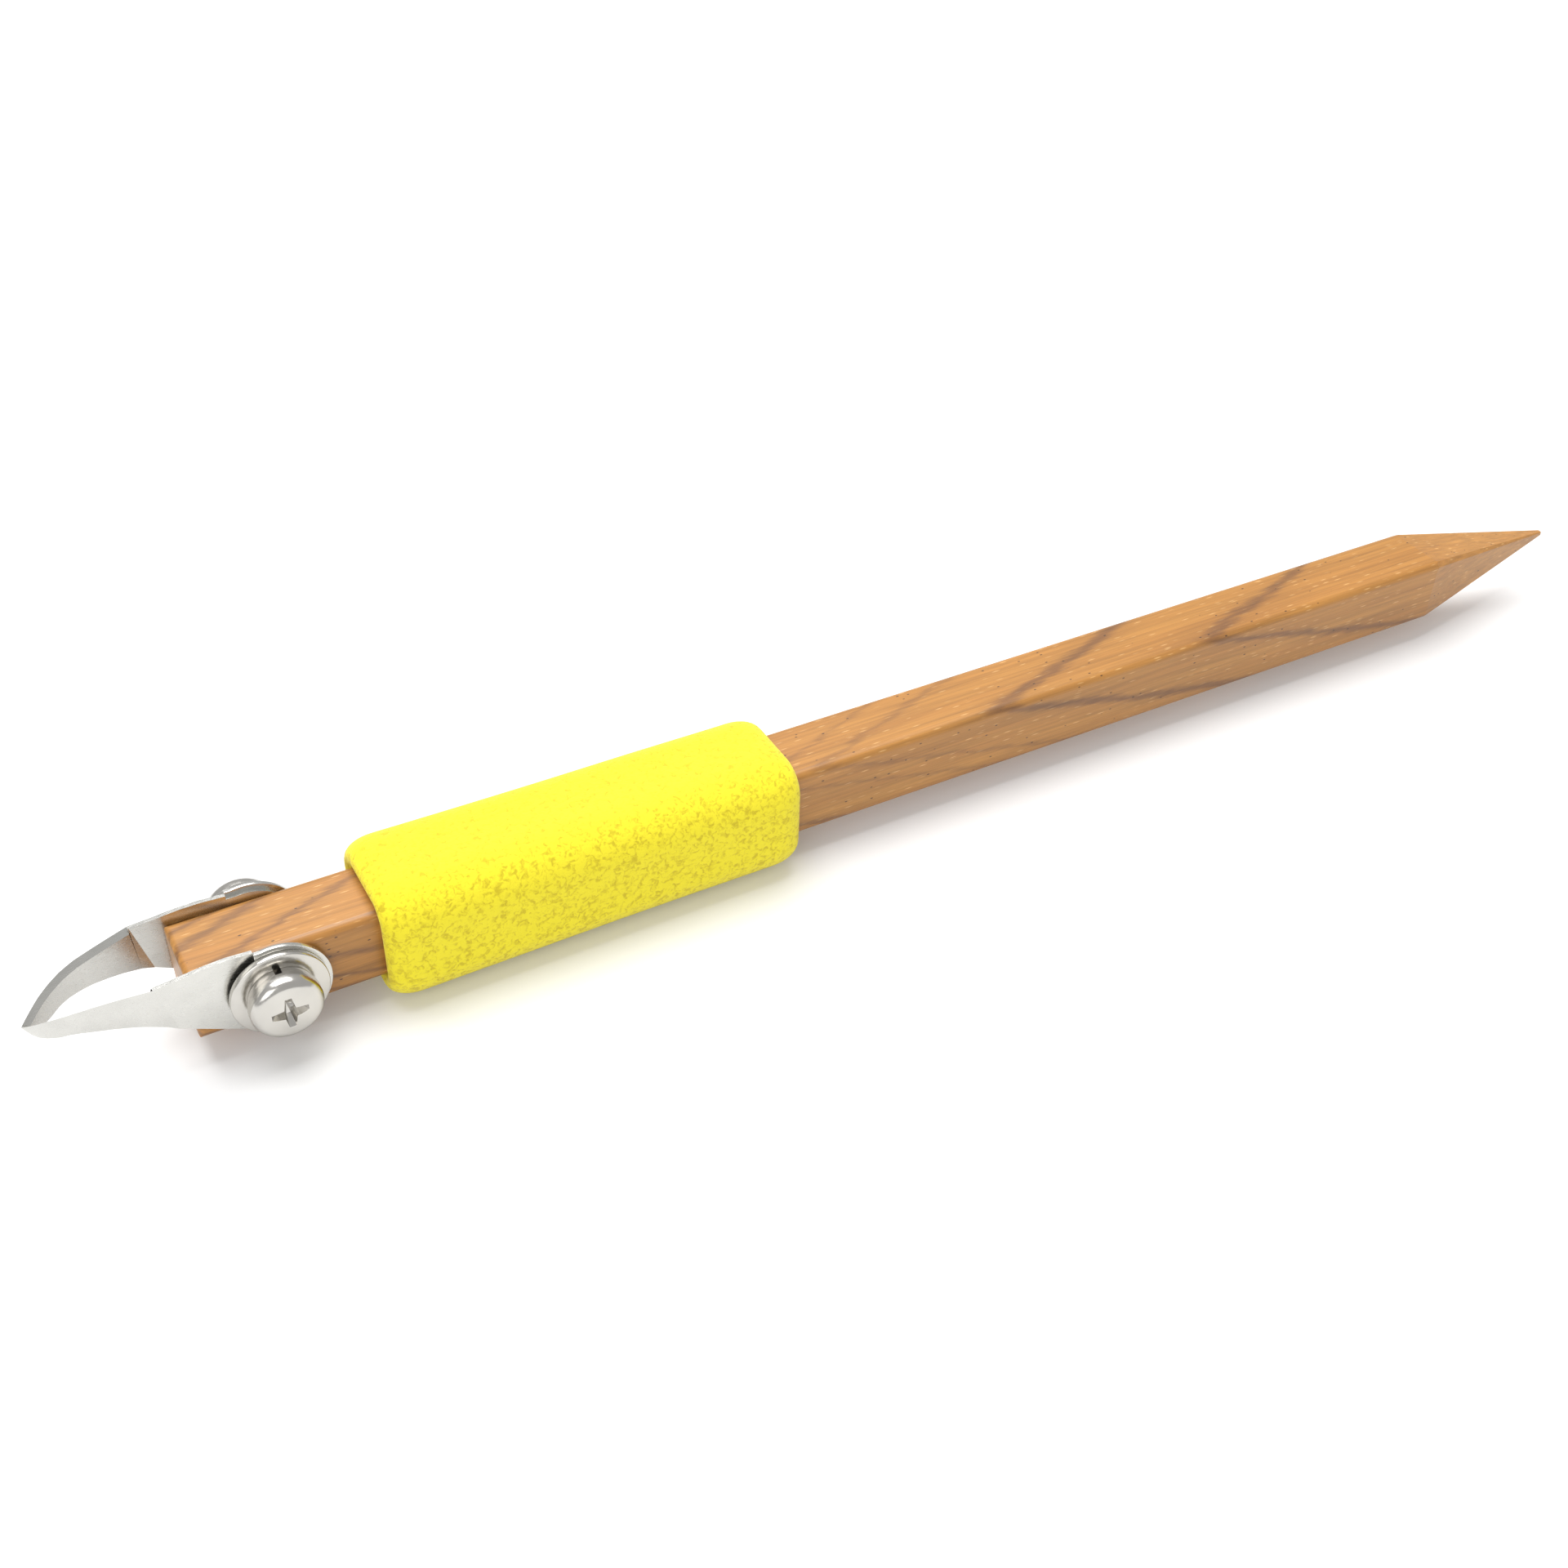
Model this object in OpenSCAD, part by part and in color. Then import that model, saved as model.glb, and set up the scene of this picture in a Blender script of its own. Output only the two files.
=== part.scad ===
// Clay trimming and carving tool: a square hardwood handle with a four-sided point at one end,
// a foam sleeve for the fingers, and a pointed steel loop blade held by a screw on each side.
// Millimetres. +X runs from the blade towards the wooden point, +Z is up with the blade's ground
// edge uppermost, and -Y is the left side when looking towards the blade.
// The origin is under the middle of the tool's length, level with the sleeve's underside.

/* [Handle] */
// Width and height of the square bar
handle_size = 8; // [6:0.1:12]
// Rounding along the bar's four long edges
handle_edge = 0.9; // [0.3:0.1:2]
// Screw axis to the sawn front end of the bar
handle_front = 7.6; // [6:0.1:12]
// Easing of the edges round the front end
handle_ease = 0.6; // [0.2:0.1:1]
// Screw axis to the wooden point
handle_reach = 165.9; // [120:0.1:200]
// Length of the four-sided point
point_length = 22.5; // [12:0.5:40]
// Half width left at the very tip of the point
point_blunt = 0.3; // [0.1:0.05:1]

/* [Foam grip] */
// Screw axis to the sleeve's front end
grip_start = 10; // [6:0.5:20]
// Length of the sleeve
grip_length = 44.2; // [30:0.1:80]
// Width and height over the sleeve
grip_size = 13.8; // [11:0.1:18]
// Rounding along the sleeve's long edges
grip_edge = 4.4; // [2:0.1:6]
// Rounding of the sleeve's two ends
grip_end = 2.4; // [0.5:0.1:4]
// Gap all round between the sleeve's hole and the bar
grip_gap = 0.3; // [0.2:0.05:0.5]

/* [Blade] */
// Thickness of the strip
strip = 0.43; // [0.3:0.01:1]
// Play between each arm and the side of the bar
arm_play = 0.02; // [0:0.01:0.2]
// Outward flare of each arm between the shoulder and the crease, degrees
arm_flare = 1.3; // [0:0.1:5]
// Forward lean of the crease and of the loop's walls, degrees
loop_lean = 14; // [0:1:25]
// Screw axis to the crease, measured square to the leaning walls
crease_reach = 9.1; // [8.8:0.1:12]
// Length of the loop's straight sides beyond the crease
side_length = 5.1; // [2:0.1:8]
// Angle at which the loop's straight sides close in, degrees
side_angle = 13.5; // [5:0.5:25]
// Radius of the loop's bowed sides down to the tip
bow_radius = 15.45; // [12:0.05:40]
// Radius of the arms' rounded ends under the plates
pad_radius = 4.5; // [4:0.1:6]

/* [Plates] */
// Thickness of the plate over each arm's end
plate = 0.43; // [0.3:0.01:1]
// Radius of the plate's rounded end
plate_radius = 5.05; // [4.5:0.05:6]
// Screw axis to the plate's straight front edge
plate_front = 1.6; // [0.5:0.1:3]

/* [Fasteners] */
// Radius of the flat washers
flat_radius = 4.6; // [4:0.05:6]
// Thickness of the flat washers
flat_thick = 0.7; // [0.4:0.05:1.5]
// Outer radius of the split washers
lock_radius = 3.15; // [2.6:0.05:4]
// Height of the split washers
lock_thick = 0.85; // [0.5:0.05:1.5]
// Width of the cut through each split washer
lock_split = 0.5; // [0.2:0.1:1]
// Radius of the screw heads
head_radius = 3.4; // [2.8:0.05:4.5]
// Height of the screw heads
head_height = 2; // [1.2:0.1:3]
// Rounding of the screw heads' outer edge
head_round = 1; // [0.2:0.1:1.5]
// Radius of the screws over the thread
shank_radius = 1.75; // [1.2:0.05:2.5]
// Reach of each arm of the cross recess from its centre
recess_reach = 1.75; // [1:0.05:2.5]
// Width of each arm of the cross recess
recess_width = 0.75; // [0.4:0.05:1.2]
// Depth of the cross recess
recess_depth = 1.3; // [0.5:0.1:1.8]
// Gap between each screw and the hole it runs in
screw_play = 0.05; // [0.01:0.01:0.1]
// Radius of the threaded cross barrel in the bar
barrel_radius = 2.6; // [2.2:0.1:3.2]
// Depth of the barrel's ends below the bar's sides
barrel_sink = 0.2; // [0:0.1:1]

/* [Hidden] */

$fn = 96;
eps = 0.01;

wood = "#B8843A";
brass = "#C9A24B";
foam = "#F2E23A";
steel = "#D9D9D4";

half = handle_size/2;
axis_z = grip_size/2;                       // centre line of the bar above the underside
tip_reach = 21.57;                          // screw axis to the blade's tip
screw_x = (tip_reach - handle_reach)/2;     // brings the origin under the middle

plate_in = half + arm_play + strip;         // inner face of the plates, from the middle
flat_in = plate_in + plate;
lock_in = flat_in + flat_thick;
head_in = lock_in + lock_thick;
hole_radius = shank_radius + 0.2;           // clearance holes in blade, plates and washers
bore_radius = shank_radius + screw_play;    // the barrel's thread, at its crests
shank_gap = 0.8;                            // each screw stops this short of the middle

// The loop's outer face seen along its walls: half widths at the pads and at the crease, and
// the point where each straight side runs into its bow
pad_y = half + arm_play + strip;
crease_y = pad_y + (crease_reach - plate_front)*tan(arm_flare);
bow_x = -crease_reach - side_length*cos(side_angle);
bow_y = crease_y - side_length*sin(side_angle);
bow_steps = 24;

// The blade's side view, X and Z from the screw axis: top edge out to the tip, then back below.
blade_top = [[-plate_front, 4.85], [-4, 5], [-6, 4.92], [-8.4, 4.66], [-10.6, 4.45], [-12.3, 4.22],
             [-14, 3.95], [-15.7, 3.64], [-17.2, 3.21], [-18.4, 2.72], [-19.5, 2.18],
             [-20.8, 1.38], [-tip_reach, 0.92]];
blade_low = [[-20.9, 0], [-20.4, -0.3], [-19.8, -0.3], [-18.8, -0.06], [-17.9, 0.31],
             [-17, 0.48], [-15.8, 0.52], [-14.6, 0.48], [-13.2, 0.3], [-11.9, 0.05],
             [-10.2, -0.45], [-8.5, -1.3], [-6.1, -2.55], [-plate_front, -4.8]];

// Square with rounded corners
module rounded_square(h, r) {
    square([2*h, 2*(h - r)], center = true);
    square([2*(h - r), 2*h], center = true);
    for (y = [-1, 1], z = [-1, 1]) translate([y*(h - r), z*(h - r)]) circle(r);
}

// Turns a profile drawn in Y and Z into a bar along +X that starts at x
module bar_x(x, length)
    translate([x, 0, 0]) rotate([90, 0, 90]) linear_extrude(length) children();

// Turns a side view drawn in X and Z into a slab centred across Y
module slab_y(width)
    translate([0, width/2, 0]) rotate([90, 0, 0]) linear_extrude(width) children();

// Puts a child drawn about the screw axis, along its own +Z, on one side of the tool
module on_side(side)
    translate([screw_x, 0, axis_z]) rotate([-90*side, 0, 0]) children();

// The bar's outline from above and from the side: eased front corners, tapered rear
module handle_outline() {
    taper = handle_reach - point_length;
    polygon([[-handle_front + handle_ease, -half], [taper, -half], [handle_reach, -point_blunt],
             [handle_reach, point_blunt], [taper, half], [-handle_front + handle_ease, half]]);
    translate([-handle_front, -half + handle_ease])
        square([2*handle_ease, handle_size - 2*handle_ease]);
    for (s = [-1, 1])
        translate([-handle_front + handle_ease, s*(half - handle_ease)]) circle(handle_ease);
}

// Softens the corners of the point: a cone a little slimmer than the pyramid's own corners
module point_cone() {
    wide = sqrt(2)*(half - handle_edge) + handle_edge;
    narrow = 1.15*point_blunt;
    lead = handle_reach - point_length;
    translate([lead, 0, 0]) rotate([0, 90, 0])
        cylinder(h = point_length, r1 = wide, r2 = narrow);
    translate([-handle_front - 1, 0, 0]) rotate([0, 90, 0])
        cylinder(h = lead + handle_front + 1 + eps, r = wide + 1);
}

module handle()
    color(wood) translate([screw_x, 0, axis_z])
    difference() {
        intersection() {
            bar_x(-handle_front, handle_front + handle_reach) rounded_square(half, handle_edge);
            slab_y(2*handle_size) handle_outline();
            translate([0, 0, -handle_size]) linear_extrude(2*handle_size) handle_outline();
            point_cone();
        }
        rotate([90, 0, 0]) cylinder(h = 2*handle_size, r = barrel_radius, center = true);
    }

// Brass barrel across the bar, threaded from both ends for the screws
module cross_barrel()
    color(brass) translate([screw_x, 0, axis_z]) rotate([90, 0, 0])
    difference() {
        cylinder(h = handle_size - 2*barrel_sink, r = barrel_radius, center = true);
        cylinder(h = 2*handle_size, r = bore_radius, center = true);
    }

// The sleeve's outline from above and from the side
module grip_outline()
    translate([grip_start, 0]) {
        translate([grip_end, -grip_size/2]) square([grip_length - 2*grip_end, grip_size]);
        translate([0, -grip_size/2 + grip_end]) square([grip_length, grip_size - 2*grip_end]);
        for (x = [grip_end, grip_length - grip_end], y = [-1, 1])
            translate([x, y*(grip_size/2 - grip_end)]) circle(grip_end);
    }

// Rounds the sleeve's ends at its four corners as well
module grip_round() {
    wide = sqrt(2)*(grip_size/2 - grip_edge) + grip_edge;
    translate([grip_start, 0, 0]) rotate([0, 90, 0]) rotate_extrude() {
        translate([0, grip_end]) square([wide, grip_length - 2*grip_end]);
        square([wide - grip_end, grip_length]);
        for (x = [grip_end, grip_length - grip_end]) translate([wide - grip_end, x])
            intersection() {
                circle(grip_end);
                translate([0, -grip_end]) square([grip_end, 2*grip_end]);
            }
    }
}

module foam_grip()
    color(foam) translate([screw_x, 0, axis_z])
    difference() {
        intersection() {
            bar_x(grip_start, grip_length) rounded_square(grip_size/2, grip_edge);
            slab_y(2*grip_size) grip_outline();
            translate([0, 0, -grip_size]) linear_extrude(2*grip_size) grip_outline();
            grip_round();
        }
        bar_x(grip_start - 1, grip_length + 2)
            rounded_square(half + grip_gap, handle_edge + grip_gap/2);
    }

// One side of the bow from its start to the tip, brought in by an inset round the same centre
function bow(inset) =
    let (r = bow_radius - inset, last = acos((bow_radius*cos(side_angle) - bow_y)/r))
    [for (i = [0:bow_steps]) let (a = side_angle + (last - side_angle)*i/bow_steps)
        [bow_x + bow_radius*sin(side_angle) - r*sin(a),
         bow_y - bow_radius*cos(side_angle) + r*cos(a)]];

// The loop's outline seen along its leaning walls, brought in by an inset: arms, crease,
// straight sides, and two bowed sides that meet in the tip
module loop_outline(inset) {
    pad = pad_y - inset;
    // the crease moves in along its mitre, so the strip keeps its thickness
    mitre = inset/(1 + cos(arm_flare + side_angle));
    cx = -crease_reach - mitre*(sin(arm_flare) - sin(side_angle));
    cy = crease_y - mitre*(cos(arm_flare) + cos(side_angle));
    side = concat([[2*pad_radius, pad], [-plate_front, pad], [cx, cy]], bow(inset));
    polygon(concat(side, [for (i = [len(side) - 2:-1:0]) [side[i].x, -side[i].y]]));
}

// The blade's side view: both edges of the strip, and the rounded ends with their shoulders
module blade_side() {
    polygon(concat(blade_top, blade_low));
    translate([-plate_front - eps, -pad_radius + 0.05])
        square([plate_front + 2*eps, 2*pad_radius - 0.1]);
    circle(pad_radius);
}

module blade()
    color(steel) translate([screw_x, 0, axis_z])
    difference() {
        intersection() {
            slab_y(4*handle_size) blade_side();
            rotate([0, -loop_lean, 0]) linear_extrude(8*handle_size, center = true)
                difference() {
                    loop_outline(0);
                    loop_outline(strip);
                }
        }
        rotate([90, 0, 0]) cylinder(h = 4*handle_size, r = hole_radius, center = true);
    }

// Stiffening plate outside an arm's end: straight front edge, rounded rear end
module end_plate(side)
    color(steel) on_side(side) translate([0, 0, plate_in]) linear_extrude(plate)
    difference() {
        union() {
            intersection() {
                circle(plate_radius);
                translate([-plate_front, -plate_radius])
                    square([plate_front + plate_radius, 2*plate_radius]);
            }
            translate([-plate_front, -plate_radius + 0.1])
                square([plate_front, 2*plate_radius - 0.2]);
        }
        circle(hole_radius);
    }

module flat_washer(side)
    color(steel) on_side(side) translate([0, 0, flat_in])
    difference() {
        cylinder(h = flat_thick, r = flat_radius);
        translate([0, 0, -1]) cylinder(h = flat_thick + 2, r = hole_radius);
    }

// Split spring washer: a ring with a slanting cut through its top
module lock_washer(side)
    color(steel) on_side(side) translate([0, 0, lock_in])
    difference() {
        cylinder(h = lock_thick, r = lock_radius);
        translate([0, 0, -1]) cylinder(h = lock_thick + 2, r = hole_radius);
        translate([0, -side*lock_radius/2 - side, lock_thick/2]) rotate([0, 25, 0])
            cube([lock_split, lock_radius + 2, 4*lock_thick], center = true);
    }

// Pan-head screw with a cross recess, shank towards the middle of the bar
module screw(side)
    color(steel) on_side(side)
    difference() {
        union() {
            translate([0, 0, shank_gap]) cylinder(h = head_in - shank_gap + eps, r = shank_radius);
            translate([0, 0, head_in]) rotate_extrude() {
                square([head_radius - head_round, head_height]);
                square([head_radius, head_height - head_round]);
                translate([head_radius - head_round, head_height - head_round])
                    intersection() {
                        circle(head_round);
                        square(head_round);
                    }
            }
        }
        translate([0, 0, head_in + head_height - recess_depth]) for (turn = [0, 90])
            rotate([0, 0, turn]) translate([0, 0, recess_depth])
                cube([2*recess_reach, recess_width, 2*recess_depth], center = true);
    }

handle();
cross_barrel();
foam_grip();
blade();
end_plate(-1);  // plate_left
end_plate(1);  // plate_right
flat_washer(-1);  // flat_washer_left
flat_washer(1);  // flat_washer_right
lock_washer(-1);  // lock_washer_left
lock_washer(1);  // lock_washer_right
screw(-1);  // screw_left
screw(1);  // screw_right
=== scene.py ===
"""Looks for a clay trimming tool: striped hardwood bar, foam sleeve, steel loop blade."""
import math

import bmesh
import bpy
from bpy.props import FloatProperty, FloatVectorProperty, IntProperty, PointerProperty
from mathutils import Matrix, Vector, noise


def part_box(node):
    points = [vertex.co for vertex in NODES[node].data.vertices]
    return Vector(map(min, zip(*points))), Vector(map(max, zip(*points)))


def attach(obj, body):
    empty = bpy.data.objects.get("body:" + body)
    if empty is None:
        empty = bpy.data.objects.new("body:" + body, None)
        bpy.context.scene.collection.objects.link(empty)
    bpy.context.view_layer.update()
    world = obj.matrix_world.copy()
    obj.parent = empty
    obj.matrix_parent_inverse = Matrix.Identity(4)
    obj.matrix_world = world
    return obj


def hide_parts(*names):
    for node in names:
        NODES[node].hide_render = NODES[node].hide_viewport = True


bl_info = {
    "name": "Clay Trimming Tool",
    "version": (1, 0, 0),
    "blender": (4, 5, 0),
    "location": "3D View > Sidebar > Clay Tool",
    "description": "Dresses the solids of a clay trimming tool and sets the stage",
    "category": "Object",
}

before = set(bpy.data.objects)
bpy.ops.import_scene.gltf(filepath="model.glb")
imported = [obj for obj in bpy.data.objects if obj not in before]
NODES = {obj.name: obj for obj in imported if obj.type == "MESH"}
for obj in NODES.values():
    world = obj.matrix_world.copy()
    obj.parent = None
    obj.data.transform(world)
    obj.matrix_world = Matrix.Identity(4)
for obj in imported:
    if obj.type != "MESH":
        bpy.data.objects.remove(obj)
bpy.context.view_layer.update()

MM = 0.001
SIDES = {"left": -1, "right": 1}


def middle(node):
    """Centre of a node's box."""
    low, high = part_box(node)
    return (Vector(low) + Vector(high)) / 2


SCREW_AXIS = middle("cross_barrel")          # the screws' axis runs through here along Y
GRIP_LOW, GRIP_HIGH = (Vector(v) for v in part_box("foam_grip"))

# The blade's lean and crease, the same as in the solids, in millimetres and degrees
LEAN = math.radians(14)
CREASE = 9.1
BLADE_TOP = [(-8.4, 4.66), (-10.6, 4.45), (-12.3, 4.22), (-14, 3.95), (-15.7, 3.64),
             (-17.2, 3.21), (-18.4, 2.72), (-19.5, 2.18), (-20.8, 1.38), (-21.57, 0.92)]


def linear(code):
    """An sRGB hex colour as linear red, green and blue."""
    def one(v):
        return v / 12.92 if v <= 0.04045 else ((v + 0.055) / 1.055) ** 2.4
    return tuple(one(int(code[i:i + 2], 16) / 255) for i in (1, 3, 5))


def rgba(colour):
    return (*colour, 1.0)


# ---------------------------------------------------------------- settings

class WoodSettings(bpy.types.PropertyGroup):
    """Oiled striped hardwood"""
    ground: FloatVectorProperty(name="Ground", description="Golden wood between the bands",
                                subtype="COLOR", min=0, max=1, default=linear("#BE863F"))
    pale: FloatVectorProperty(name="Pale", description="Lighter growth and open pores",
                              subtype="COLOR", min=0, max=1, default=linear("#D9A767"))
    band: FloatVectorProperty(name="Band", description="Dark purple-brown growth bands",
                              subtype="COLOR", min=0, max=1, default=linear("#5A3A2C"))
    gloss: FloatProperty(name="Roughness", description="Roughness of the oiled surface",
                         min=0, max=1, default=0.42)


class FoamSettings(bpy.types.PropertyGroup):
    """Moulded foam sleeve"""
    colour: FloatVectorProperty(name="Foam", description="Body colour of the foam",
                                subtype="COLOR", min=0, max=1, default=linear("#F4E52E"))
    grain: FloatProperty(name="Grain", description="Size of one wrinkle of the skin",
                         unit="LENGTH", min=0.0001, max=0.005, default=0.00055)
    roll: FloatProperty(name="Roll", description="Length of the rounding at each end",
                        unit="LENGTH", min=0.0005, max=0.006, default=0.003)
    hole_gap: FloatProperty(name="Hole gap", description="Air between the bar and the sleeve",
                            unit="LENGTH", min=0.00002, max=0.0003, default=0.0001)


class SteelSettings(bpy.types.PropertyGroup):
    """Blade strip and fasteners"""
    strip: FloatVectorProperty(name="Strip", description="Colour of the blade's strip steel",
                               subtype="COLOR", min=0, max=1, default=linear("#D6D5D0"))
    screws: FloatVectorProperty(name="Fasteners", description="Colour of screws and washers",
                                subtype="COLOR", min=0, max=1, default=linear("#CFCCC6"))
    bevel_drop: FloatProperty(name="Ground bevel", description="Height of the ground bevel",
                              unit="LENGTH", min=0, max=0.002, default=0.00058)
    pitch: FloatProperty(name="Thread pitch", description="Pitch of the screws' thread",
                         unit="LENGTH", min=0.0003, max=0.0015, default=0.00079375)
    segments: IntProperty(name="Segments", description="Faces round a ring",
                          min=24, max=256, default=96)


class StageSettings(bpy.types.PropertyGroup):
    """Floor, light and camera"""
    floor: FloatVectorProperty(name="Floor", description="Colour of the floor",
                               subtype="COLOR", min=0, max=1, default=linear("#F2F2F2"))
    key: FloatProperty(name="Key light", description="Power of the overhead softbox in watts",
                       min=0, default=5.2)
    lens: FloatProperty(name="Lens", description="Focal length on a 36 mm wide sensor",
                        min=10, max=200, default=42.678)


# ---------------------------------------------------------------- small tools

def add(tree, kind, inputs=None, **settings):
    """Adds a node with its settings, input values and links."""
    node = tree.nodes.new(kind)
    for name, value in settings.items():
        setattr(node, name, value)
    for key, value in (inputs or {}).items():
        if isinstance(value, bpy.types.NodeSocket):
            tree.links.new(value, node.inputs[key])
        else:
            node.inputs[key].default_value = value
    return node


def material(name):
    """An empty node material and its tree."""
    made = bpy.data.materials.new(name)
    made.use_nodes = True
    made.node_tree.nodes.clear()
    return made, made.node_tree


def dress(obj, mat):
    obj.data.materials.clear()
    obj.data.materials.append(mat)


def to_object(name, bm, mat, sharp=30):
    """A new object from a bmesh: normals made good, smooth but for edges over an angle."""
    bmesh.ops.recalc_face_normals(bm, faces=bm.faces)
    mesh = bpy.data.meshes.new(name)
    bm.to_mesh(mesh)
    bm.free()
    mesh.shade_smooth()
    mesh.set_sharp_from_angle(angle=math.radians(sharp))
    obj = bpy.data.objects.new(name, mesh)
    bpy.context.scene.collection.objects.link(obj)
    dress(obj, mat)
    return obj


def evaluated_mesh(obj):
    """The object's mesh with its modifiers applied, as plain data; the modifiers go."""
    graph = bpy.context.evaluated_depsgraph_get()
    mesh = bpy.data.meshes.new_from_object(obj.evaluated_get(graph))
    obj.modifiers.clear()
    return mesh


def millimetres(tree):
    """Object coordinates in millimetres."""
    coords = add(tree, "ShaderNodeTexCoord")
    return add(tree, "ShaderNodeVectorMath", {0: coords.outputs["Object"], "Scale": 1000.0},
               operation="SCALE").outputs[0]


# ---------------------------------------------------------------- materials

# Where the dark growth bands lie along the bar, and how wide and how strong they are: the
# place is read in millimetres behind the screws on the near top edge, and each band is a
# slanting plane, steep across the top and shallow along the sides.
BANDS = [(-41, 1.6, 0.8), (-27, 1.8, 0.85), (-20, 1.9, 0.9), (-8, 1.7, 0.85), (9, 1.5, 0.7),
         (24.5, 1.9, 0.85), (45.5, 1.2, 0.5), (55.5, 1.6, 0.55), (78.6, 3.0, 1.0),
         (107, 2.8, 0.95), (126.5, 4.2, 0.85)]
BAND_ACROSS, BAND_DOWN = 3.0, 4.6            # mm along the bar per mm across and per mm down


def wood_material(settings):
    """Zebra-striped tropical hardwood, planed and oiled: satin, with open pores that fill
    pale, and purple-brown bands with ragged edges."""
    mat, tree = material("oiled striped hardwood")
    where = millimetres(tree)

    # stretched coordinates: fibres run along the bar
    fibre = add(tree, "ShaderNodeMapping", {"Vector": where, "Scale": (0.06, 2.6, 2.6)})
    ragged = add(tree, "ShaderNodeMapping", {"Vector": where, "Scale": (0.22, 1.5, 1.5)})
    wave = add(tree, "ShaderNodeTexNoise", {"Vector": where, "Scale": 0.055, "Detail": 1.0})
    tear = add(tree, "ShaderNodeTexNoise", {"Vector": ragged.outputs[0], "Scale": 1.0,
                                            "Detail": 5.0, "Roughness": 0.62})

    # place along the bar, run down the slanting planes
    plain = add(tree, "ShaderNodeVectorMath",
                {0: where, 1: (1.0, -BAND_ACROSS, BAND_DOWN)}, operation="DOT_PRODUCT")
    axis = SCREW_AXIS / MM
    start = -axis.x - 4 * BAND_ACROSS - BAND_DOWN * (4 + axis.z)
    swayed = add(tree, "ShaderNodeMath", {0: wave.outputs["Fac"], 1: 7.0, 2: start - 3.5},
                 operation="MULTIPLY_ADD")
    torn = add(tree, "ShaderNodeMath", {0: tear.outputs["Fac"], 1: 7.5, 2: -3.75},
               operation="MULTIPLY_ADD")
    place = add(tree, "ShaderNodeMath", {0: plain.outputs["Value"], 1: swayed.outputs[0]},
                operation="ADD")
    place = add(tree, "ShaderNodeMath", {0: place.outputs[0], 1: torn.outputs[0]},
                operation="ADD")
    low, span = BANDS[0][0] - 10.0, 190.0
    factor = add(tree, "ShaderNodeMapRange",
                 {"Value": place.outputs[0], "From Min": low, "From Max": low + span})
    ramp = add(tree, "ShaderNodeValToRGB", {"Fac": factor.outputs[0]})
    ramp.color_ramp.interpolation = "B_SPLINE"
    stops = ramp.color_ramp.elements
    stops[0].color = stops[1].color = (0, 0, 0, 1)
    for centre, half, depth in BANDS:
        for offset, value in ((-half, 0.0), (0, depth), (half, 0.0)):
            if len(stops) >= 32:
                break
            stop = stops.new((centre + offset - low) / span)
            stop.color = (value, value, value, 1)

    # fine fibres and broad warm and cool streaks
    fibres = add(tree, "ShaderNodeTexNoise", {"Vector": fibre.outputs[0], "Scale": 1.0,
                                              "Detail": 6.0, "Roughness": 0.7})
    streaks = add(tree, "ShaderNodeMapping", {"Vector": where, "Scale": (0.02, 0.5, 0.5)})
    broad = add(tree, "ShaderNodeTexNoise", {"Vector": streaks.outputs[0], "Scale": 1.0,
                                             "Detail": 3.0})
    tone = add(tree, "ShaderNodeMapRange", {"Value": fibres.outputs["Fac"], "From Min": 0.3,
                                            "From Max": 0.7, "To Min": 0.72, "To Max": 1.16})
    warm = add(tree, "ShaderNodeMapRange", {"Value": broad.outputs["Fac"], "From Min": 0.35,
                                            "From Max": 0.65, "To Min": 0.0, "To Max": 0.55})
    body = add(tree, "ShaderNodeMix", {"Factor": warm.outputs[0],
                                       6: rgba(settings.ground),
                                       7: rgba(linear("#A86F30"))}, data_type="RGBA")

    # pores: short pale dashes, 1 to 3 mm long and a fifth of a millimetre wide
    dash = add(tree, "ShaderNodeMapping", {"Vector": where, "Scale": (0.55, 3.6, 3.6),
                                           "Location": (3.0, 1.0, 2.0)})
    pores = add(tree, "ShaderNodeTexVoronoi", {"Vector": dash.outputs[0], "Scale": 1.0,
                                               "Randomness": 1.0}, feature="F1")
    picked = add(tree, "ShaderNodeSeparateColor", {0: pores.outputs["Color"]})
    few = add(tree, "ShaderNodeMapRange", {"Value": picked.outputs[0], "From Min": 0.62,
                                           "From Max": 0.8})
    core = add(tree, "ShaderNodeMapRange", {"Value": pores.outputs["Distance"],
                                            "From Min": 0.34, "From Max": 0.12})
    pore = add(tree, "ShaderNodeMath", {0: few.outputs[0], 1: core.outputs[0]},
               operation="MULTIPLY")
    body = add(tree, "ShaderNodeMix", {"Factor": pore.outputs[0], 6: body.outputs[2],
                                       7: rgba(settings.pale)}, data_type="RGBA")
    body = add(tree, "ShaderNodeMix", {"Factor": ramp.outputs["Color"], 6: body.outputs[2],
                                       7: rgba(settings.band)}, data_type="RGBA")
    shaded = add(tree, "ShaderNodeVectorMath", {0: body.outputs[2],
                                                "Scale": tone.outputs[0]}, operation="SCALE")

    # pits: dark specks a few tenths of a millimetre long
    speck = add(tree, "ShaderNodeMapping", {"Vector": where, "Scale": (0.8, 1.7, 1.7)})
    pits = add(tree, "ShaderNodeTexVoronoi", {"Vector": speck.outputs[0], "Scale": 0.62},
               feature="F1")
    pit = add(tree, "ShaderNodeMapRange", {"Value": pits.outputs["Distance"],
                                           "From Min": 0.10, "From Max": 0.06,
                                           "To Max": 0.85})
    colour = add(tree, "ShaderNodeMix", {"Factor": pit.outputs[0], 6: shaded.outputs[0],
                                         7: rgba(linear("#2A1A12"))}, data_type="RGBA")

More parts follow.
